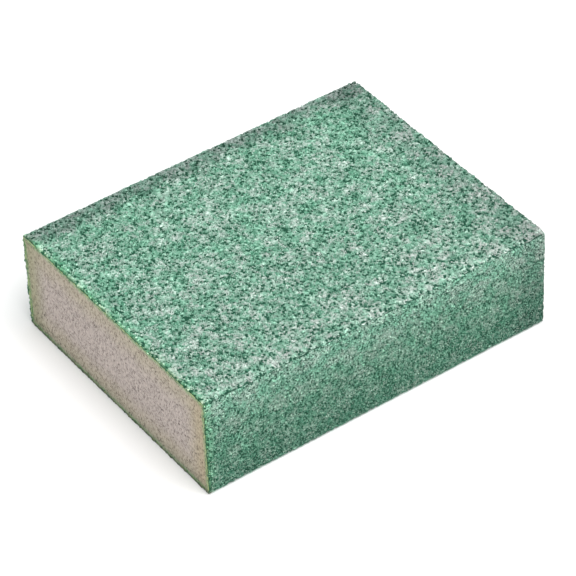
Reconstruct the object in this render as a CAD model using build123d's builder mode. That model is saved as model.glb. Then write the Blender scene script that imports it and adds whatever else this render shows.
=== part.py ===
"""Foam sanding block, coated on four faces.

A slab of fine-pored foam carries two kinds of abrasive coat. The broad faces, top and bottom, have
coarse grit, and the two long sides have fine grit. The ends are cut bare, so the foam and the edges
of all the coats show there.

A coat is two layers: a film of cured resin bonded to the foam, and the grit that stands in it. The
coarse coats roll over the slab's long edges and stop a little way down. The fine coats fill the
sides between them, and because they are thinner, the rolled coarse edge stands proud as a lip.

Frame: X runs along the block, Y across it and Z up. The origin is the middle of the bottom face.
"""

import os

from build123d import *

# Driving sizes, in millimetres
block_length = 90.0  # between the two cut ends
foam_width = 69.2
foam_thickness = 25.0
edge_radius = 0.6  # the foam's four long edges
edge_wrap = 0.15  # how far down the foam a coarse coat rolls, measured from its broad face

coarse_resin = 0.15
coarse_grit = 0.35
fine_resin = 0.15
fine_grit = 0.25

# What follows from them
coarse_coat = coarse_resin + coarse_grit
fine_coat = fine_resin + fine_grit
mid_height = coarse_coat + foam_thickness / 2
wrap_line = foam_thickness / 2 - edge_wrap  # height above mid height where the two coats meet
beyond = foam_width + foam_thickness  # a length that clears the whole section

# The section is drawn on the cut end at -X, with its origin on the block's long axis.
cut_end = Plane(origin=(-block_length / 2, 0, mid_height), x_dir=(0, 1, 0), z_dir=(1, 0, 0))


def foam_section(grown=0.0, mode=Mode.ADD):
    """The foam's outline, grown outwards by the thickness of what lies on it."""
    RectangleRounded(foam_width + 2 * grown, foam_thickness + 2 * grown, edge_radius + grown, mode=mode)


def keep_broad_face(side):
    """Trims a ring to one broad face and its two rolled edges: side is 1 for top, -1 for bottom."""
    with Locations((0, side * (wrap_line + beyond / 2))):
        Rectangle(2 * beyond, beyond, mode=Mode.INTERSECT)


def keep_long_side(side):
    """Trims a ring to one long side, between the two coarse coats: side is 1 for +Y, -1 for -Y."""
    with Locations((side * beyond / 2, 0)):
        Rectangle(beyond, 2 * wrap_line, mode=Mode.INTERSECT)


def finish(piece, name):
    """Labels a finished piece and writes it."""
    piece.label = name
    export_step(piece, f"parts/{name}.step")


os.makedirs("parts", exist_ok=True)

with BuildPart() as foam_core:
    with BuildSketch(cut_end):
        foam_section()
    extrude(amount=block_length)
finish(foam_core.part, "foam_core")

# face: how a ring is trimmed to it, which side it is on, and its grit with both thicknesses
coats = {
    "top": (keep_broad_face, 1, "coarse", coarse_resin, coarse_coat),
    "bottom": (keep_broad_face, -1, "coarse", coarse_resin, coarse_coat),
    "back": (keep_long_side, 1, "fine", fine_resin, fine_coat),
    "front": (keep_long_side, -1, "fine", fine_resin, fine_coat),
}
for face, (trim_to_face, side, grade, resin, coat) in coats.items():
    layers = {f"{face}_bond_resin": (0.0, resin), f"{face}_{grade}_grit": (resin, coat)}
    for name, (inner, outer) in layers.items():
        with BuildPart() as layer:
            with BuildSketch(cut_end):
                foam_section(outer)
                foam_section(inner, mode=Mode.SUBTRACT)
                trim_to_face(side)
            extrude(amount=block_length)
        finish(layer.part, name)
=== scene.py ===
# %% [markdown]
# # A foam sanding block
#
# The block is a slab of soft foam with abrasive on four of its six faces. The two broad faces have
# coarse grit and the two long sides have finer grit. The ends are cut bare. The lesson builds every
# layer as its own mesh: the foam, four films of green resin, and four crusts of mineral grains.

import math

import bpy
import numpy as np
from mathutils import Matrix, Vector


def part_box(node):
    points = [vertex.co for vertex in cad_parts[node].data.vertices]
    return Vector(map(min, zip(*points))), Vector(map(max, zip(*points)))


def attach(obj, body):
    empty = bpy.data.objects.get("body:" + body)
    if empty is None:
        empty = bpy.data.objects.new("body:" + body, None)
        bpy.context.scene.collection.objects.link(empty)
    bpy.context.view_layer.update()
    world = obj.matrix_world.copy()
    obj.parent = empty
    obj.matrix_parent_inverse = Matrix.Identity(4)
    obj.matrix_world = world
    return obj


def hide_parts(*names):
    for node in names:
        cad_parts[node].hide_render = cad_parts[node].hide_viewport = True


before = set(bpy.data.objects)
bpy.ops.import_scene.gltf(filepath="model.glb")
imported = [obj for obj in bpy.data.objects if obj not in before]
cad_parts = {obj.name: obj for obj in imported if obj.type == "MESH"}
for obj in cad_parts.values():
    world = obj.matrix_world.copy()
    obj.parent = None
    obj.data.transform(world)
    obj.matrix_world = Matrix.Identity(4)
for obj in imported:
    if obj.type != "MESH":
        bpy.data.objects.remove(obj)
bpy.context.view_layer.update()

# %% [markdown]
# ## Measures
#
# The design already says how big the foam is and how thick each layer is. Reading them from its nodes
# keeps this script right if the design changes. The only curve in the section is the small radius on
# the foam's long edges. It is found from how wide the flat part of the foam's top is.

# %% Read the measures from the design
MM = 0.001

foam_low, foam_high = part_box("foam_core")
block_length = foam_high.x - foam_low.x
foam_width = foam_high.y - foam_low.y
foam_thickness = foam_high.z - foam_low.z
mid_height = (foam_high.z + foam_low.z) / 2
foam_corners = [vertex.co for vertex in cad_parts["foam_core"].data.vertices]
flat_top = [corner.y for corner in foam_corners if corner.z > foam_high.z - 0.001 * MM]
edge_radius = foam_high.y - max(flat_top)

coarse_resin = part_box("top_bond_resin")[1].z - foam_high.z
coarse_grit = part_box("top_coarse_grit")[1].z - foam_high.z - coarse_resin
fine_resin = foam_low.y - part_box("front_bond_resin")[0].y
fine_grit = foam_low.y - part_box("front_fine_grit")[0].y - fine_resin
edge_wrap = foam_high.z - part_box("top_coarse_grit")[0].z
print(f"foam radius {edge_radius / MM:.2f} mm, coarse {coarse_resin / MM:.2f} + {coarse_grit / MM:.2f} mm,"
      f" fine {fine_resin / MM:.2f} + {fine_grit / MM:.2f} mm, wrap {edge_wrap / MM:.2f} mm")

# %% [markdown]
# ## Working on one face at a time
#
# All four coats are made the same way, so it helps to build each one lying flat and then fold it onto
# the block. A point on a coat needs three numbers: how far it is along the block, how far it is across
# the face, and how high it stands off the foam. Past the flat part of the face the same distance across
# runs round the rolled edge.

# %% Describe the four coated faces
X, Y, Z = Vector((1, 0, 0)), Vector((0, 1, 0)), Vector((0, 0, 1))


class Face:
    """One coated face: which way is across it and out of it, and how its coat rolls over the edges."""

    def __init__(self, across, out, width, reach, resin, grit, is_broad):
        self.across, self.out = np.array(across), np.array(out)
        self.reach = reach
        self.resin, self.grit = resin, grit
        self.is_broad = is_broad
        self.flat = width / 2 - edge_radius
        middle_radius = edge_radius + resin + grit / 2
        lift = (edge_radius - edge_wrap) / middle_radius
        self.turn = math.acos(lift) if is_broad else math.asin(lift)

    def span(self, height):
        """Half the way across the coat, measured over its rolled edges at this height off the foam."""
        return self.flat + (edge_radius + height) * self.turn

    def place(self, along, across, base, height):
        """Points on the block for a sheet that lies at height base and stands height above it."""
        turn = np.maximum(np.abs(across) - self.flat, 0) / (edge_radius + base)
        radius = edge_radius + base + height
        aside = np.sign(across) * (np.minimum(np.abs(across), self.flat) + radius * np.sin(turn))
        outward = self.reach + radius * np.cos(turn) - edge_radius
        points = along[:, None] * np.array(X) + aside[:, None] * self.across + outward[:, None] * self.out
        return points + np.array((0, 0, mid_height))


def broad_face(side):
    return Face(side * Y, side * Z, foam_width, foam_thickness / 2, coarse_resin, coarse_grit, True)


def long_side(side):
    return Face(-side * Z, side * Y, foam_thickness, foam_width / 2, fine_resin, fine_grit, False)


faces = {"top": broad_face(1), "bottom": broad_face(-1), "back": long_side(1), "front": long_side(-1)}
for name, face in faces.items():
    width = 2 * face.span(face.resin) / MM
    print(f"{name}: {width:.2f} mm across, rolled {math.degrees(face.turn):.0f} degrees")

# %% [markdown]
# ## A sheet of cells
#
# Crushed mineral grains lie side by side like gravel, and foam is a mass of small pores. Both are a
# field of cells, so both can come from one kind of mesh. Separate meshes for tens of thousands of
# grains would be heavy and hard to give a texture, and displacing a plain grid would give soft lumps.
# Instead a sheet is laid out in staggered rows, one point for the middle of each cell, and one point
# is added where three cells meet. Joining them makes each cell a small faceted stone, all in a single
# skin.

# %% Join the middles of staggered rows


def row_triangles(rows, columns):
    """Triangles between the cell middles of staggered rows, turning anticlockwise."""
    j, i = np.meshgrid(np.arange(rows - 1), np.arange(columns - 1), indexing="ij")
    here, right = j * columns + i, j * columns + i + 1
    above, above_right = here + columns, right + columns
    even = (j % 2 == 0)[..., None]

    def either(on_even, on_odd):
        return np.where(even, np.stack(on_even, -1), np.stack(on_odd, -1)).reshape(-1, 3)

    return np.concatenate([
        either([here, right, above], [here, right, above_right]),
        either([right, above_right, above], [here, above_right, above]),
    ])


def shared_sides(triangles):
    """For each side of the triangles: its two cell middles and the triangle on each hand, or -1."""
    starts = triangles.reshape(-1)
    ends = np.roll(triangles, -1, axis=1).reshape(-1)
    owner = np.repeat(np.arange(len(triangles)), 3)
    size = triangles.max() + 1
    key = np.minimum(starts, ends) * size + np.maximum(starts, ends)
    order = np.argsort(key, kind="stable")
    starts, ends, owner, key = starts[order], ends[order], owner[order], key[order]
    paired = key[:-1] == key[1:]
    left = np.flatnonzero(paired)
    alone = np.ones(len(key), bool)
    alone[left] = alone[left + 1] = False
    pairs = np.stack([starts[left], ends[left], owner[left], owner[left + 1]], -1)
    edge = np.stack([starts[alone], ends[alone], owner[alone], np.full(alone.sum(), -1)], -1)
    return pairs, edge


# %% Lay out the cells of a sheet


class Sheet:
    """Staggered cells over a rectangle, with a meeting point between every three of them."""

    def __init__(self, rng, length, width, pitch, row_pitch, jitter):
        self.pitch, self.row_pitch = pitch, row_pitch
        self.columns = round(length / pitch) + 1
        self.rows = round(width / row_pitch) + 1
        j, i = np.meshgrid(np.arange(self.rows), np.arange(self.columns), indexing="ij")
        self.row, self.column = j.ravel(), i.ravel()
        along = (self.column + 0.5 * (self.row % 2)) / (self.columns - 1)
        across = self.row / (self.rows - 1)
        self.at_end = (self.column == 0) | (self.column == self.columns - 1)
        self.at_lip = (self.row == 0) | (self.row == self.rows - 1)
        along = np.where(self.column == 0, 0, np.where(self.at_end, 1, along))
        self.along = (along - 0.5) * length
        self.across = (across - 0.5) * width
        loose = ~self.at_end
        self.along[loose] += rng.uniform(-jitter, jitter, loose.sum()) * pitch
        loose = ~self.at_lip
        self.across[loose] += rng.uniform(-jitter, jitter, loose.sum()) * row_pitch
        self.triangles = row_triangles(self.rows, self.columns)
        self.pairs, self.edge = shared_sides(self.triangles)
        self.count = len(self.along)

    def meeting_points(self, rng, jitter):
        """Where three cells meet: the middle of their triangle, shifted a little."""
        count = len(self.triangles)
        along = self.along[self.triangles].mean(1) + rng.uniform(-jitter, jitter, count) * self.pitch
        across = self.across[self.triangles].mean(1) + rng.uniform(-jitter, jitter, count) * self.row_pitch
        return along, across

    def skin(self, joined):
        """Triangles of the sheet and the cell each belongs to. A joined side runs from cell to cell as
        a ridge, and any other side is a valley between the two cells."""
        a, b, left, right = self.pairs.T
        left, right = left + self.count, right + self.count
        valley = ~joined
        parts = [
            (a[valley], right[valley], left[valley], a[valley]),
            (b[valley], left[valley], right[valley], b[valley]),
            (a[joined], right[joined], b[joined], a[joined]),
            (a[joined], b[joined], left[joined], b[joined]),
        ]
        a, b, left, _ = self.edge.T
        parts.append((a, b, left + self.count, a))
        merged = np.concatenate([np.stack(part, -1) for part in parts])
        return merged[:, :3], merged[:, 3]

    def rim(self):
        """Cell numbers round the sheet's border, anticlockwise."""
        c, r = self.columns, self.rows
        return np.concatenate([
            np.arange(c),
            np.arange(1, r) * c + c - 1,
            (r - 1) * c + np.arange(c - 2, -1, -1),
            np.arange(r - 2, 0, -1) * c,
        ])


# %% [markdown]
# ## Making a mesh from arrays
#
# The sheets have up to a hundred thousand points. Adding them one at a time with bmesh takes minutes,
# so the points and faces go in as whole arrays. Numbers that the finish needs, such as which facets are
# mineral, are stored with the mesh as attributes.

# %% Turn arrays into a piece


def make_piece(name, points, faces, point_values=None, face_values=None):
    """A mesh object with named numbers on its points and faces."""
    mesh = bpy.data.meshes.new(name)
    sizes = np.array([len(f) for f in faces])
    corners = np.concatenate([np.asarray(f, dtype=np.int32) for f in faces])
    starts = np.concatenate([[0], np.cumsum(sizes)[:-1]])
    mesh.vertices.add(len(points))
    mesh.vertices.foreach_set("co", np.asarray(points, dtype=np.float32).ravel())
    mesh.loops.add(len(corners))
    mesh.loops.foreach_set("vertex_index", corners)
    mesh.polygons.add(len(sizes))
    mesh.polygons.foreach_set("loop_start", starts.astype(np.int32))
    mesh.polygons.foreach_set("loop_total", sizes.astype(np.int32))
    mesh.update(calc_edges=True)
    mesh.validate()
    for domain, table in (("POINT", point_values or {}), ("FACE", face_values or {})):
        for key, values in table.items():
            layer = mesh.attributes.new(key, "FLOAT", domain)
            layer.data.foreach_set("value", np.asarray(values, dtype=np.float32))
    piece = bpy.data.objects.new(name, mesh)
    bpy.context.scene.collection.objects.link(piece)
    return piece


# %% [markdown]
# ## Writing a finish as sums
#
# A material is a graph of nodes, and long graphs are hard to read as code. Here a Signal stands for one
# socket, so that a sum such as `1 - mask` adds the Math node by itself. Colours are blended with Mix
# nodes, because a Math node would turn them grey.

# %% Helpers for materials
MIX_AMOUNT, MIX_FIRST, MIX_SECOND, MIX_RESULT = 0, 6, 7, 2  # the Mix node's sockets for colours


class Signal:
    """A number, colour or direction on its way through a finish."""

    def __init__(self, finish, socket):
        self.finish, self.socket = finish, socket

    def sum(self, operation, *values):
        inputs = dict(enumerate(values))
        return self.finish.add("Math", {"operation": operation}, inputs)

    def __add__(self, other):
        return self.sum("ADD", self, other)

    def __sub__(self, other):
        return self.sum("SUBTRACT", self, other)

    def __rsub__(self, other):
        return self.sum("SUBTRACT", other, self)

    def __mul__(self, other):
        return self.sum("MULTIPLY", self, other)

    __radd__, __rmul__ = __add__, __mul__

    def size(self):
        return self.sum("ABSOLUTE", self)

    def over(self, low, high):
        """0 at low, 1 at high and smooth between them. Low may be the larger number."""
        settings = {"interpolation_type": "SMOOTHSTEP"}
        return self.finish.add("MapRange", settings, {"Value": self, "From Min": low, "From Max": high})

    def blend(self, none, full):
        """The colour none where this number is 0, and full where it is 1."""
        inputs = {MIX_AMOUNT: self, MIX_FIRST: none, MIX_SECOND: full}
        return self.finish.add("Mix", {"data_type": "RGBA"}, inputs, MIX_RESULT)

    def brighten(self, colour):
        """The colour times this number."""
        return self.finish.add("VectorMath", {"operation": "SCALE"}, {0: colour, "Scale": self})


class Finish:
    """One material. Every node in it is made by add."""

    def __init__(self, name, **constants):
        self.material = bpy.data.materials.new(name)
        self.material.use_nodes = True
        self.tree = self.material.node_tree
        self.shader = self.tree.nodes["Principled BSDF"]
        for socket, value in constants.items():
            self.shader.inputs[socket.replace("_", " ")].default_value = value

    def put(self, socket, value):
        if isinstance(value, Signal):
            self.tree.links.new(value.socket, socket)
        else:
            socket.default_value = value

    def add(self, kind, settings=None, inputs=None, output=0):
        node = self.tree.nodes.new("ShaderNode" + kind)
        for key, value in (settings or {}).items():
            setattr(node, key, value)
        for key, value in (inputs or {}).items():
            self.put(node.inputs[key], value)
        return Signal(self, node.outputs[output])

    def attribute(self, name):
        return self.add("Attribute", {"attribute_name": name}, output="Fac")

    def place(self):
        """The point being shaded, as a direction and as three numbers, in metres on the block."""
        point = self.add("TexCoord", output="Object")
        split = self.add("SeparateXYZ", inputs={0: point})
        others = [Signal(self, split.socket.node.outputs[k]) for k in (1, 2)]
        return point, split, *others

    def noise(self, point, size, detail=2.0):
        """Cloudy noise whose lumps are about this size."""
        inputs = {"Vector": point, "Scale": 1 / size, "Detail": detail, "Roughness": 0.5}
        return self.add("TexNoise", {"noise_dimensions": "3D"}, inputs)

    def tint(self, colour, amount, filter):
        """The colour as seen through a coloured filter, by this amount."""
        settings = {"data_type": "RGBA", "blend_type": "MULTIPLY"}
        inputs = {MIX_AMOUNT: amount, MIX_FIRST: colour, MIX_SECOND: filter}
        return self.add("Mix", settings, inputs, MIX_RESULT)

    def colour(self, value):
        self.put(self.shader.inputs["Base Color"], value)

    def bump(self, height, distance, strength=1.0):
        inputs = {"Height": height, "Distance": distance, "Strength": strength}
        self.put(self.shader.inputs["Normal"], self.add("Bump", inputs=inputs))

    def cover(self, piece):
        piece.data.materials.clear()
        piece.data.materials.append(self.material)


def paint(red, green, blue):
    """A colour for a socket, from linear red, green and blue."""
    return (red, green, blue, 1.0)


# %% [markdown]
# ## The grit
#
# The grains are crushed mineral, pale mint and pale grey. They stand in green resin, which has run up
# between them and covers some of them altogether. What the eye sees is a fine mix of bright facets, mid
# green lumps and dark green pits, in patches a few grains across. Scattering grains by hand or copying a
# few shapes would show as a pattern. Drawing a few random numbers for every cell doesn't, and a seed
# makes them the same each time.

# %% What a coat is made of


class Blend:
    """What one kind of coat is made of."""

    def __init__(self, pitch, stretch, gaps, clean, clump, upward, ragged, short):
        self.pitch = pitch    # from grain to grain along the block
        self.row_pitch = pitch * stretch * math.sqrt(3) / 2  # from row to row, wider by the stretch
        self.gaps = gaps      # share of places where a grain is missing
        self.clean = clean    # how much of a grain is free of resin, on average
        self.clump = clump    # how much that changes from patch to patch
        # A cleaner upper edge also makes a side coat paler at the top, which is partly painted light
        # falling off down the side.
        self.upward = upward  # how much cleaner the coat is at its upper edge than at its lower one
        self.ragged = ragged  # how far grains stray at the borders
        self.short = short    # how far the coat stops short of the next coat, on average


coarse = Blend(pitch=0.445 * MM, stretch=1.13, gaps=0.085, clean=0.60, clump=0.18, upward=0,
               ragged=0.22 * MM, short=0.17 * MM)
fine = Blend(pitch=0.295 * MM, stretch=1.0, gaps=0.13, clean=0.55, clump=0.14, upward=0.65,
             ragged=0.16 * MM, short=-0.05 * MM)


def smooth(value, low, high):
    """0 at low, 1 at high and smooth between them. Low may be the larger number."""
    share = np.clip((value - low) / (high - low), 0, 1)
    return share * share * (3 - 2 * share)


def patches(rng, along, across, size):
    """A smooth random field between 0 and 1 that changes over patches of one size."""
    a, b = (along - along.min()) / size, (across - across.min()) / size
    corners = rng.random((int(a.max()) + 2, int(b.max()) + 2))
    i, j = a.astype(int), b.astype(int)
    s, t = smooth(a - i, 0, 1), smooth(b - j, 0, 1)
    near = corners[i, j] * (1 - s) + corners[i + 1, j] * s
    far = corners[i, j + 1] * (1 - s) + corners[i + 1, j + 1] * s
    return near * (1 - t) + far * t


def clumps(rng, along, across, large, small):
    """Patches of two sizes together, from -1 to 1."""
    return patches(rng, along, across, large) + patches(rng, along, across, small) - 1


# %% [markdown]
# ### From cells to grains
#
# Each cell is a bare grain, a grain under resin, or a gap where the grain fell out. Bare grains stand
# highest. One cell in six or so takes its grain from a neighbour, which makes some grains larger and
# less even. Near the left end and along the lips of the broad coats, more grains are missing and more
# stand proud. The points between the cells are mostly shallow, and some are deep pits.

# %% Draw the grains of a sheet
LARGE_PATCH, SMALL_PATCH = 2.4 * MM, 1.1 * MM  # patches with more or less resin
LIP_BORDER, END_BORDER = 0.8 * MM, 0.9 * MM    # how far in from a lip or the left end wear is worst
BORDER_GAPS, LIP_GAPS = 0.07, 0.15             # extra share missing there, and on a side coat's lip
BORDER_PROUD, PROUD = 0.10, 0.015              # share of grains that stand proud there, and elsewhere
DEEP_PITS = 0.38                               # share of the pits that go down to the resin


def shared_grains(rng, sheet):
    """The number of the grain that each cell belongs to."""
    grain = np.arange(sheet.count)
    draw = rng.random(sheet.count)
    inside = (sheet.column > 0) & (sheet.row > 0)
    for low, high, step in ((0, 0.04, 1), (0.04, 0.1, sheet.columns), (0.1, 0.16, sheet.columns - 1)):
        grain[inside & (draw >= low) & (draw < high)] -= step
    return grain


def draw_grains(rng, sheet, face, blend):
    """Four numbers for each cell, which the finish reads, its grain, its height and if it is a gap."""
    clump = clumps(rng, sheet.along, sheet.across, LARGE_PATCH, SMALL_PATCH)
    to_lip = face.span(face.resin) - blend.short - np.abs(sheet.across)
    grain = shared_grains(rng, sheet)
    border = (to_lip < LIP_BORDER) & face.is_broad | (sheet.along < END_BORDER - block_length / 2)
    on_lip = (to_lip < 0.6 * blend.row_pitch) * (not face.is_broad)
    gaps = blend.gaps + (BORDER_GAPS * border + LIP_GAPS * on_lip)
    gap = rng.random(sheet.count) < gaps - 0.05 * clump

    clean = blend.clean + blend.clump * clump + 0.45 * (2 * rng.random(sheet.count)[grain] - 1)
    clean += blend.upward * face.across[2] * sheet.across / foam_thickness
    if face.is_broad:  # just inside its lips a broad coat is rubbed clean
        clean += 0.35 * smooth(to_lip, 0.1 * MM, 0.6 * MM) * smooth(to_lip, 2.8 * MM, 1.0 * MM)
    clean = np.where(gap, 0, np.clip(clean, 0, 1))
    tone = 1.3 * rng.beta(1.6, 2.4, sheet.count)[grain]  # most grains are dull and a few are bright
    tint = rng.random(sheet.count)[grain]

    stand = rng.random(sheet.count)[grain] * 0.75 + 0.25 * rng.random(sheet.count)
    stand = np.where(gap, 0.02 + 0.35 * stand ** 1.5, 0.45 + 0.25 * clean + 0.5 * stand)
    proud = (rng.random(sheet.count) < np.where(border, BORDER_PROUD, PROUD)) & ~gap
    stand[proud] += 0.3
    tone[proud] = 1.5
    values = {"clean": clean, "tone": tone, "tint": tint, "patch": 0.5 + 0.5 * clump}
    return values, grain, stand, gap


def sink_pits(rng, sheet, stand):
    """How high the points between the cells stand."""
    pit_along, pit_across = sheet.meeting_points(rng, 0.12)
    deep = rng.random(len(pit_along)) < DEEP_PITS
    lowest = stand[sheet.triangles].min(1)
    bottom = rng.uniform(0.0, 0.12, len(deep))
    shallow = lowest * rng.uniform(0.4, 0.95, len(deep))
    return pit_along, pit_across, np.where(deep, bottom, shallow)


# %% [markdown]
# ### Torn ends
#
# A saw or a knife leaves the foam clean and tears the coat. At the ends it swells in places and its
# grains stick out unevenly, more at the end where the blade went in. Along the lips the grains stray
# too. The coat underneath is pressed flat by the block's weight, so it neither swells nor strays much.

# %% Fray a sheet at its ends
SWELL = 0.38 * MM        # the most that a torn end lifts
SWELL_DEPTH = 0.9 * MM   # how far in from the end the lift has faded to a third
SWELL_LIP = 1.5 * MM     # how far in from a lip it is full


def torn(along):
    """How badly the blade tore the coat at the nearer end."""
    return np.where(along < 0, 1.0, 0.6)


def swell_ends(rng, along, across, half_width):
    """How far each point lifts because the coat is torn there."""
    fray = torn(along) * np.exp(-(block_length / 2 - np.abs(along)) / SWELL_DEPTH)
    fray *= smooth(half_width - np.abs(across), 0, SWELL_LIP)
    lumps = 0.6 * patches(rng, along, across, 1.2 * MM) + 0.4 * patches(rng, along, across, 3.0 * MM)
    return SWELL * lumps * fray


def stray_borders(rng, sheet, along, across, ragged, is_pressed):
    """Move the cells at the ends and lips in or out, in place."""
    stray = clumps(rng, sheet.along, sheet.across, 1.0 * MM, 2.2 * MM)
    alone = rng.uniform(-1, 1, sheet.count)
    reach = ragged * (0.8 * alone + (0.3 if is_pressed else 1.0) * stray)
    end, lip = np.flatnonzero(sheet.at_end), np.flatnonzero(sheet.at_lip)
    along[end] += np.sign(along[end]) * reach[end] * torn(along[end]) * (0.6 if is_pressed else 1.3)
    across[lip] += np.sign(across[lip]) * reach[lip] * 0.7


# %% [markdown]
# ### Closing the crust
#
# A crust lies on the resin, so it needs an underside to be a solid. Nobody sees it, so it repeats only
# the border at no height, joined to the border above by a wall. Long strips close it from end to end.

# %% Close the underside


def close_underside(sheet, face, first):
    """Points, wall and strips of the underside, for a mesh that has first points already."""
    rim = sheet.rim()
    foot = np.full(sheet.count, -1)
    foot[rim] = first + np.arange(len(rim))
    along = np.clip(sheet.along[rim], -block_length / 2, block_length / 2)
    points = face.place(along, sheet.across[rim], face.resin, np.zeros(len(rim)))
    following = np.roll(rim, -1)
    wall = np.stack([rim, foot[rim], foot[following], following], -1)
    starts = np.arange(sheet.rows) * sheet.columns
    ends = starts + sheet.columns - 1
    strips = [np.array([foot[starts[k]], foot[starts[k + 1]], foot[ends[k + 1]], foot[ends[k]]])
              for k in range(1, sheet.rows - 2)]
    strips.append(np.concatenate([foot[starts[0]:ends[0] + 1][::-1], [foot[starts[1]], foot[ends[1]]]]))
    strips.append(np.concatenate([foot[starts[-1]:ends[-1] + 1], [foot[ends[-2]], foot[starts[-2]]]]))
    return points, wall, strips


# %% [markdown]
# ### A crust from start to end
#
# Everything comes together here. The cells and pits are folded onto the face, each as high as it stands
# times the thickness of the grit. A side between two cells of one grain becomes a ridge, and so do a few
# others, so that not every grain is a neat cone. The shading stays flat, because the broken faces of
# crushed mineral are what makes it sparkle.

# %% Make the four crusts


def make_crust(name, face, seed, blend):
    """Grains over one face, from its resin outwards."""
    rng = np.random.default_rng(seed)
    half_width = face.span(face.resin) - blend.short
    sheet = Sheet(rng, block_length, 2 * half_width, blend.pitch, blend.row_pitch, 0.3)
    values, grain, stand, gap = draw_grains(rng, sheet, face, blend)
    is_pressed = face.out[2] < 0
    if is_pressed:
        stand = np.minimum(stand, 1)
    pit_along, pit_across, dip = sink_pits(rng, sheet, stand)

    along = np.concatenate([sheet.along, pit_along])
    across = np.concatenate([sheet.across, pit_across])
    rise = np.concatenate([stand, dip])
    swell = swell_ends(rng, along, across, half_width) * (not is_pressed)
    stray_borders(rng, sheet, along, across, blend.ragged, is_pressed)

    joined = (grain[sheet.pairs[:, 0]] == grain[sheet.pairs[:, 1]]) | (rng.random(len(sheet.pairs)) < 0.1)
    skin, owner = sheet.skin(joined)
    points = face.place(along, across, face.resin, rise * face.grit + swell)
    under, wall, strips = close_underside(sheet, face, len(points))

    cells = np.concatenate([owner, sheet.rim()])
    blank = np.zeros(len(strips))
    face_values = {key: np.concatenate([cell[cells], blank]) for key, cell in values.items()}
    face_values["cut"] = np.arange(len(cells) + len(strips)) >= len(owner)
    rise = np.concatenate([rise, np.full(len(under), 0.05)])
    piece = make_piece(name, np.concatenate([points, under]), [*skin, *wall, *strips],
                       {"rise": rise}, face_values)
    piece.data.shade_flat()
    print(f"{name}: {sheet.count} cells, {len(skin)} facets, {100 * gap.mean():.0f}% gaps")
    return piece


crusts = {}
for number, (name, face) in enumerate(faces.items()):
    kind = "coarse" if face.is_broad else "fine"
    crust = make_crust(f"{name}_grains", face, 100 + number, coarse if face.is_broad else fine)
    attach(crust, "root")
    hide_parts(f"{name}_{kind}_grit")
    crusts[name] = crust

# %% [markdown]
# ## The look of the grit
#
# The finish reads the numbers stored on the facets. Resin is painted with shade, from a mid green on the
# lumps to a deep green in the pits. Bare grain goes from mint to grey, lighter or darker from grain to
# grain, and shows only above the resin line. Which of the two it is changes slowly, from patch to patch,
# because the sprayed coat of resin is thicker in some places than in others.
#
# A used block is not even. Dust and handling have greyed parts of it. The torn coat beside the cut is
# paler, and the cut itself is dark where the resin is bare, with a little painted shade on the cut walls.
# Painted shade also darkens the foot of the cut end, the back edge of the broad coats and the lower part
# of the side coats. Apart from the cut walls, each of these is a coloured filter, laid on by how far the
# point is from an edge.

# %% Mix the grit finishes


def grit_finish(name, mint, grey, contrast, wear_and_shade):
    finish = Finish(name, Roughness=0.6)
    finish.shader.inputs["Specular IOR Level"].default_value = 0.15
    point, x, y, z = finish.place()
    rise, tone, tint = finish.attribute("rise"), finish.attribute("tone"), finish.attribute("tint")
    clean, patch, cut = finish.attribute("clean"), finish.attribute("patch"), finish.attribute("cut")
    # Painted shade: the resin is mid green on the lumps and deep green in the pits.
    resin = rise.over(0.05, 0.75).blend(paint(0.012, 0.074, 0.042), paint(0.072, 0.275, 0.166))
    cloud = finish.noise(point, 3.5 * MM, 3.0)
    mineral = (0.1 * tint + 0.5 * cloud + 0.4 * patch).over(0.36, 0.64).blend(mint, grey)
    mineral = (1 - 0.5 * contrast + contrast * tone).brighten(mineral)
    shown = clean * rise.over(0.1, 0.5) * (1 - 0.6 * cut)
    colour = shown.blend(resin, mineral)
    # Cut faces are darkened a little with painted shade.
    colour = ((0.93 + 0.14 * cloud) * (1 - 0.15 * cut)).brighten(colour)

    from_end = block_length / 2 + x
    pale_end = from_end.over(2.8 * MM, 1.0 * MM)
    dark_end = from_end.over(0.7 * MM, 0.2 * MM)
    # Painted shade along the lowest edge of the left cut end.
    painted_shade_foot = from_end.over(1.2 * MM, 0.4 * MM) * z.over(0.9 * MM, 0.5 * MM)
    grey_end = x.over(block_length / 2 - 12 * MM, block_length / 2 - 4 * MM)
    wander = 9 * MM * (finish.noise(point, 6 * MM) - 0.5)
    for amount, filter in [
        (pale_end, paint(1.04, 1.11, 1.04)),
        (dark_end, paint(0.88, 0.90, 0.76)),
        (painted_shade_foot, paint(0.70, 0.42, 0.42)),
        (grey_end, paint(0.89, 0.83, 0.86)),
        *wear_and_shade(y + wander, z),
    ]:
        colour = finish.tint(colour, amount, filter)
    finish.colour(colour)
    finish.bump(finish.noise(point, 0.12 * MM, 3.0), 0.02 * MM, 0.6)
    return finish


def broad_wear_and_shade(y, z):
    """The broad coats are greyer towards the front, and carry painted shade along their back edge."""
    half = foam_width / 2
    return [(y.over(0.4 * half, -0.9 * half), paint(1.05, 0.965, 1.00)),
            # Painted shade along the back edge.
            (y.over(half - 6.5 * MM, half - 2 * MM), paint(0.62, 0.60, 0.62))]


def side_wear_and_shade(y, z):
    """The side coats are greyer in their upper part, darker below it with painted shade, and less green
    along their foot.
    """
    # Painted shade darkens the lower part of the side coats.
    return [(z.over(28 * MM, 12 * MM), paint(0.80, 0.79, 0.80)),
            (z.over(14 * MM, 24 * MM), paint(1.00, 0.95, 0.99)),
            (z.over(7 * MM, 1 * MM), paint(1.13, 0.99, 1.04))]


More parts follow.
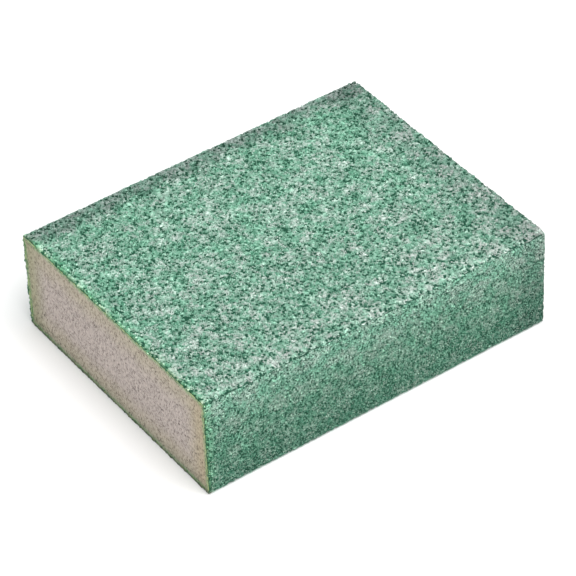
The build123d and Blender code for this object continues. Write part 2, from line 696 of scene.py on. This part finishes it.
coarse_finish = grit_finish(
    "coarse grit", paint(0.294, 0.546, 0.412), paint(0.460, 0.564, 0.507), 0.66, broad_wear_and_shade)
fine_finish = grit_finish(
    "fine grit", paint(0.270, 0.560, 0.400), paint(0.402, 0.556, 0.458), 1.0, side_wear_and_shade)
for name, crust in crusts.items():
    (coarse_finish if faces[name].is_broad else fine_finish).cover(crust)
print(f"grit finishes: {len(coarse_finish.tree.nodes)} and {len(fine_finish.tree.nodes)} nodes")

# %% [markdown]
# ## The foam
#
# The slab is sawn from a large block of foam, so its ends show cut pores, a little taller than wide.
# A bump map alone looks flat from close by. The ends are made from the same kind of sheet as the grit
# instead, with the middles of the cells pushed in. The four long faces are hidden under the coats, so
# plain strips join the two ends.

# %% Make the foam slab
PORE_WIDE, PORE_TALL = 0.47 * MM, 0.6 * MM


def rounded_section(y, z):
    """Pull the corners of a rectangle in to the foam's radius."""
    flat_y, flat_z = foam_width / 2 - edge_radius, foam_thickness / 2 - edge_radius
    over_y = np.maximum(np.abs(y) - flat_y, 0)
    over_z = np.maximum(np.abs(z) - flat_z, 0)
    out = np.hypot(over_y, over_z)
    pull = np.where(out > 0, np.maximum(over_y, over_z) / np.maximum(out, 1e-9), 1)
    y = np.sign(y) * (np.minimum(np.abs(y), flat_y) + over_y * pull)
    z = np.sign(z) * (np.minimum(np.abs(z), flat_z) + over_z * pull)
    return y, z


def end_sheet(seed, side):
    """The cut end at side -1 or 1: points on the block and how deep each lies in its pore."""
    rng = np.random.default_rng(seed)
    sheet = Sheet(rng, foam_width, foam_thickness, PORE_WIDE, PORE_TALL, 0.34)
    wall_along, wall_across = sheet.meeting_points(rng, 0.1)
    pores = 0.02 + 0.15 * rng.random(sheet.count) ** 1.5 + 0.05 * (rng.random(sheet.count) < 0.08)
    depth = np.concatenate([pores, rng.uniform(0, 0.03, len(wall_along))]) * MM
    depth[:sheet.count][sheet.at_end | sheet.at_lip] = 0
    y = np.concatenate([sheet.along, wall_along])
    z = np.concatenate([sheet.across, wall_across])
    y, z = rounded_section(y, z)
    x = side * (block_length / 2 - depth)
    skin, _ = sheet.skin(rng.random(len(sheet.pairs)) < 0.24)
    return sheet, np.stack([x, y, z + mid_height], -1), depth / MM, skin


sheet, left_points, left_depth, left_skin = end_sheet(11, -1)
_, right_points, right_depth, right_skin = end_sheet(12, 1)
rim = sheet.rim()
following = np.roll(rim, -1)
shift = len(left_points)
walls = np.stack([rim, following, following + shift, rim + shift], -1)
foam = make_piece(
    "foam_slab", np.concatenate([left_points, right_points]),
    [*left_skin[:, ::-1], *(right_skin + shift), *walls],
    {"pore": np.concatenate([left_depth, right_depth])},
)
foam.data.shade_flat()
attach(foam, "root")
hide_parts("foam_core")
print(f"foam: {len(foam.data.polygons)} faces")

# %% [markdown]
# ## The look of the foam
#
# The foam is a pinkish cream in the middle. Towards its borders it has yellowed, and next to the coats
# the green resin has bled into it by a few tenths of a millimetre. So the finish is a row of blends that
# follow the distance to the nearest long face, and noise makes that distance wander. The pores carry
# painted shade, darker the deeper they are. A few soft filters darken the lower part with painted shade,
# and make the foam darker and greener towards one long face and yellower towards the other.

# %% Mix the foam finish
pink, yellow = paint(0.53, 0.46, 0.42), paint(0.51, 0.45, 0.35)
olive, green = paint(0.37, 0.47, 0.29), paint(0.12, 0.27, 0.10)

foam_finish = Finish("cut foam", Roughness=0.9)
point, x, y, z = foam_finish.place()
pore = foam_finish.attribute("pore")
side_gap = (foam_width / 2) - y.size()
top_gap = (foam_thickness / 2) - (z - mid_height).size()
gap = side_gap.sum("MINIMUM", side_gap, top_gap)
wander = foam_finish.noise(point, 1.6 * MM, 3.0)
blot = foam_finish.noise(point, 9 * MM)
near = gap + 1.4 * MM * (wander - 0.5)
body = (gap + 4 * MM * (blot - 0.5)).over(1.5 * MM, 9 * MM).blend(yellow, pink)
bled = near.over(1.4 * MM, 0.2 * MM).blend(body, olive)
foam_colour = near.over(0.4 * MM, 0.1 * MM).blend(bled, green)
speck = foam_finish.noise(point, 0.5 * MM, 2.0)
half = foam_width / 2
# Painted shade darkens the lower part of the end. The other filters make it darker and greener towards one
# long face and yellower towards the other.
for amount, filter in (
    (z.over(12 * MM, 6 * MM), paint(0.93, 0.93, 0.93)),
    (z.over(4.5 * MM, 0.5 * MM), paint(0.70, 0.74, 0.72)),
    (y.over(half - 9 * MM, half - 1 * MM), paint(0.78, 0.84, 0.72)),
    (y.over(7 * MM - half, 1 * MM - half), paint(0.98, 0.93, 0.84)),
):
    foam_colour = foam_finish.tint(foam_colour, amount, filter)
# Painted shade: deeper pores are darker.
foam_finish.colour(((0.73 + 0.70 * speck) * (1 - 5.2 * pore)).brighten(foam_colour))
foam_finish.bump(foam_finish.noise(point, 0.25 * MM, 3.0), 0.03 * MM, 0.5)
foam_finish.cover(foam)
print(f"foam finish: {len(foam_finish.tree.nodes)} nodes")

# %% [markdown]
# ## The resin films
#
# The resin shows only at the cut ends, as a thin green line between foam and grit. It soaked into the
# foam unevenly, so the line wanders. A painted line would do from far away, but the film is a layer of
# its own, so it is modelled: a band that rolls over the edges with its face, wavy on its inner side at
# the two ends. There it stands a hair proud of the cut, because cured resin doesn't spring back from the
# knife as foam does.

# %% Make the resin films
FILM_STEP = 0.3 * MM    # between points across a film
FILM_PROUD = 0.03 * MM  # past the cut foam
FILM_WAVY = 0.7 * MM    # how far in from the ends the waves reach
FILM_SOAK = 0.45 * MM   # how deep the resin soaked in at most


def film_sheets(face, rng):
    """Points of the outer and inner side, at four stations along the block."""
    half_span = face.span(0)
    rows = round(2 * half_span / FILM_STEP) + 1
    across = np.linspace(-half_span, half_span, rows)
    end = block_length / 2
    outer, inner = [], []
    for station in (-end - FILM_PROUD, FILM_WAVY - end, end - FILM_WAVY, end + FILM_PROUD):
        is_end = abs(station) > end
        along = np.full(rows, station)
        soak = (patches(rng, across, across, 1.4 * MM) * 0.7 + rng.random(rows) * 0.3) ** 1.5
        top = face.resin * (0.9 + 0.5 * rng.random(rows)) if is_end else np.full(rows, face.resin)
        outer.append(face.place(along, across, 0.0, top))
        inner.append(face.place(along, across, 0.0, -FILM_SOAK * soak if is_end else np.zeros(rows)))
    return rows, np.concatenate(outer + inner)


def make_film(name, face, seed):
    rows, points = film_sheets(face, np.random.default_rng(seed))
    quads = []

    def grid(layer, station, row):
        return (layer * 4 + station) * rows + row

    for k in range(3):
        for r in range(rows - 1):
            quads.append((grid(0, k, r), grid(0, k + 1, r), grid(0, k + 1, r + 1), grid(0, k, r + 1)))
            quads.append((grid(1, k, r), grid(1, k, r + 1), grid(1, k + 1, r + 1), grid(1, k + 1, r)))
        quads.append((grid(0, k, 0), grid(1, k, 0), grid(1, k + 1, 0), grid(0, k + 1, 0)))
        last = rows - 1
        quads.append((grid(0, k, last), grid(0, k + 1, last), grid(1, k + 1, last), grid(1, k, last)))
    for r in range(rows - 1):
        quads.append((grid(0, 0, r), grid(0, 0, r + 1), grid(1, 0, r + 1), grid(1, 0, r)))
        quads.append((grid(0, 3, r), grid(1, 3, r), grid(1, 3, r + 1), grid(0, 3, r + 1)))
    piece = make_piece(name, points, quads)
    print(f"{name}: {len(quads)} quads")
    return piece


films = {}
for number, (name, face) in enumerate(faces.items()):
    film = make_film(f"{name}_resin", face, 200 + number)
    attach(film, "root")
    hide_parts(f"{name}_bond_resin")
    films[name] = film

# %% [markdown]
# ## The look of the resin
#
# Where the blade went through, the resin is bruised to a mottled yellowish green. Inside the block it is
# dark and wet looking, and shows only through gaps in the grit. The lowest part of each cut end is
# darkened with painted shade.

# %% Mix the resin finish
resin_finish = Finish("green resin", Roughness=0.4)
point, x, y, z = resin_finish.place()
mottle = resin_finish.noise(point, 0.9 * MM, 3.0)
cut_resin = mottle.over(0.40, 0.60).blend(paint(0.04, 0.16, 0.06), paint(0.36, 0.46, 0.18))
# Painted shade along the lowest part of the cut end.
cut_resin = resin_finish.tint(cut_resin, z.over(1.6 * MM, 0.6 * MM), paint(0.40, 0.35, 0.35))
inside = (block_length / 2 - x.size()).over(0.3 * MM, 0.8 * MM)
resin_finish.colour(inside.blend(cut_resin, paint(0.015, 0.09, 0.05)))
resin_finish.bump(mottle, 0.05 * MM, 0.5)
for film in films.values():
    resin_finish.cover(film)

# %% [markdown]
# ## The bench and the light
#
# Grit is a rough surface made of facets, and it looks flat in hard light from the front. A large square
# lamp above and a little to the front lights the top more than the sides and leaves soft shade in the
# pits. White light from all round keeps the shade pale.

# %% Floor and light
SKY, FLOOR_REACH = 0.62, 4.0  # strength of the light from all round, and metres from the middle

world = bpy.data.worlds.new("studio")
bpy.context.scene.world = world
world.use_nodes = True
sky = world.node_tree.nodes["Background"]
sky.inputs["Color"].default_value = (1, 1, 1, 1)
sky.inputs["Strength"].default_value = SKY

floor_mesh = bpy.data.meshes.new("floor")
turns = ((-1, -1), (1, -1), (1, 1), (-1, 1))
floor_corners = [(FLOOR_REACH * a, FLOOR_REACH * b, 0) for a, b in turns]
floor_mesh.from_pydata(floor_corners, [], [(0, 1, 2, 3)])
floor = bpy.data.objects.new("floor", floor_mesh)
bpy.context.scene.collection.objects.link(floor)
floor_finish = Finish("pale floor", Roughness=0.9)
floor_finish.colour(paint(0.96, 0.96, 0.96))
floor_finish.cover(floor)


def soft_box(name, place, target, size, power):
    """A square area light that faces the block."""
    lamp = bpy.data.lights.new(name, "AREA")
    lamp.shape, lamp.size, lamp.energy = "SQUARE", size, power
    light = bpy.data.objects.new(name, lamp)
    light.location = place
    light.rotation_mode = "QUATERNION"
    light.rotation_quaternion = (Vector(target) - Vector(place)).to_track_quat("-Z", "Y")
    bpy.context.scene.collection.objects.link(light)
    print(f"{name}: {size} m square, {power} W")


soft_box("key", (0.0, -0.3, 0.75), (0, 0, 0), 0.6, 6.0)

# %% [markdown]
# ## The camera
#
# The block is seen from its front left, from above, with a long lens that keeps its edges nearly
# parallel. The camera is placed by two angles round the middle of the block, a distance and a slight
# roll, and then slid a little to put the block in the middle of the view.

# %% Camera
azimuth, elevation, roll = math.radians(-33.93), math.radians(40.48), math.radians(-2.66)
distance, slide, rise = 743.1 * MM, 0.75 * MM, -2.11 * MM
level = math.cos(elevation)
back = Vector((math.sin(azimuth) * level, -math.cos(azimuth) * level, math.sin(elevation)))
right = Vector((math.cos(azimuth), math.sin(azimuth), 0))
up = back.cross(right)
right, up = right * math.cos(roll) + up * math.sin(roll), up * math.cos(roll) - right * math.sin(roll)
lens = bpy.data.cameras.new("camera")
lens.sensor_width, lens.lens = 36, 210.84
lens.clip_start, lens.clip_end = 0.01, 50
camera = bpy.data.objects.new("camera", lens)
spot = back * distance + Z * mid_height + right * slide + up * rise
camera.matrix_world = Matrix.Translation(spot) @ Matrix((right, up, back)).transposed().to_4x4()
bpy.context.scene.collection.objects.link(camera)
bpy.context.scene.camera = camera
bpy.context.scene.view_settings.view_transform = "Standard"
print(f"camera: {lens.lens:.0f} mm lens, {distance:.3f} m away")
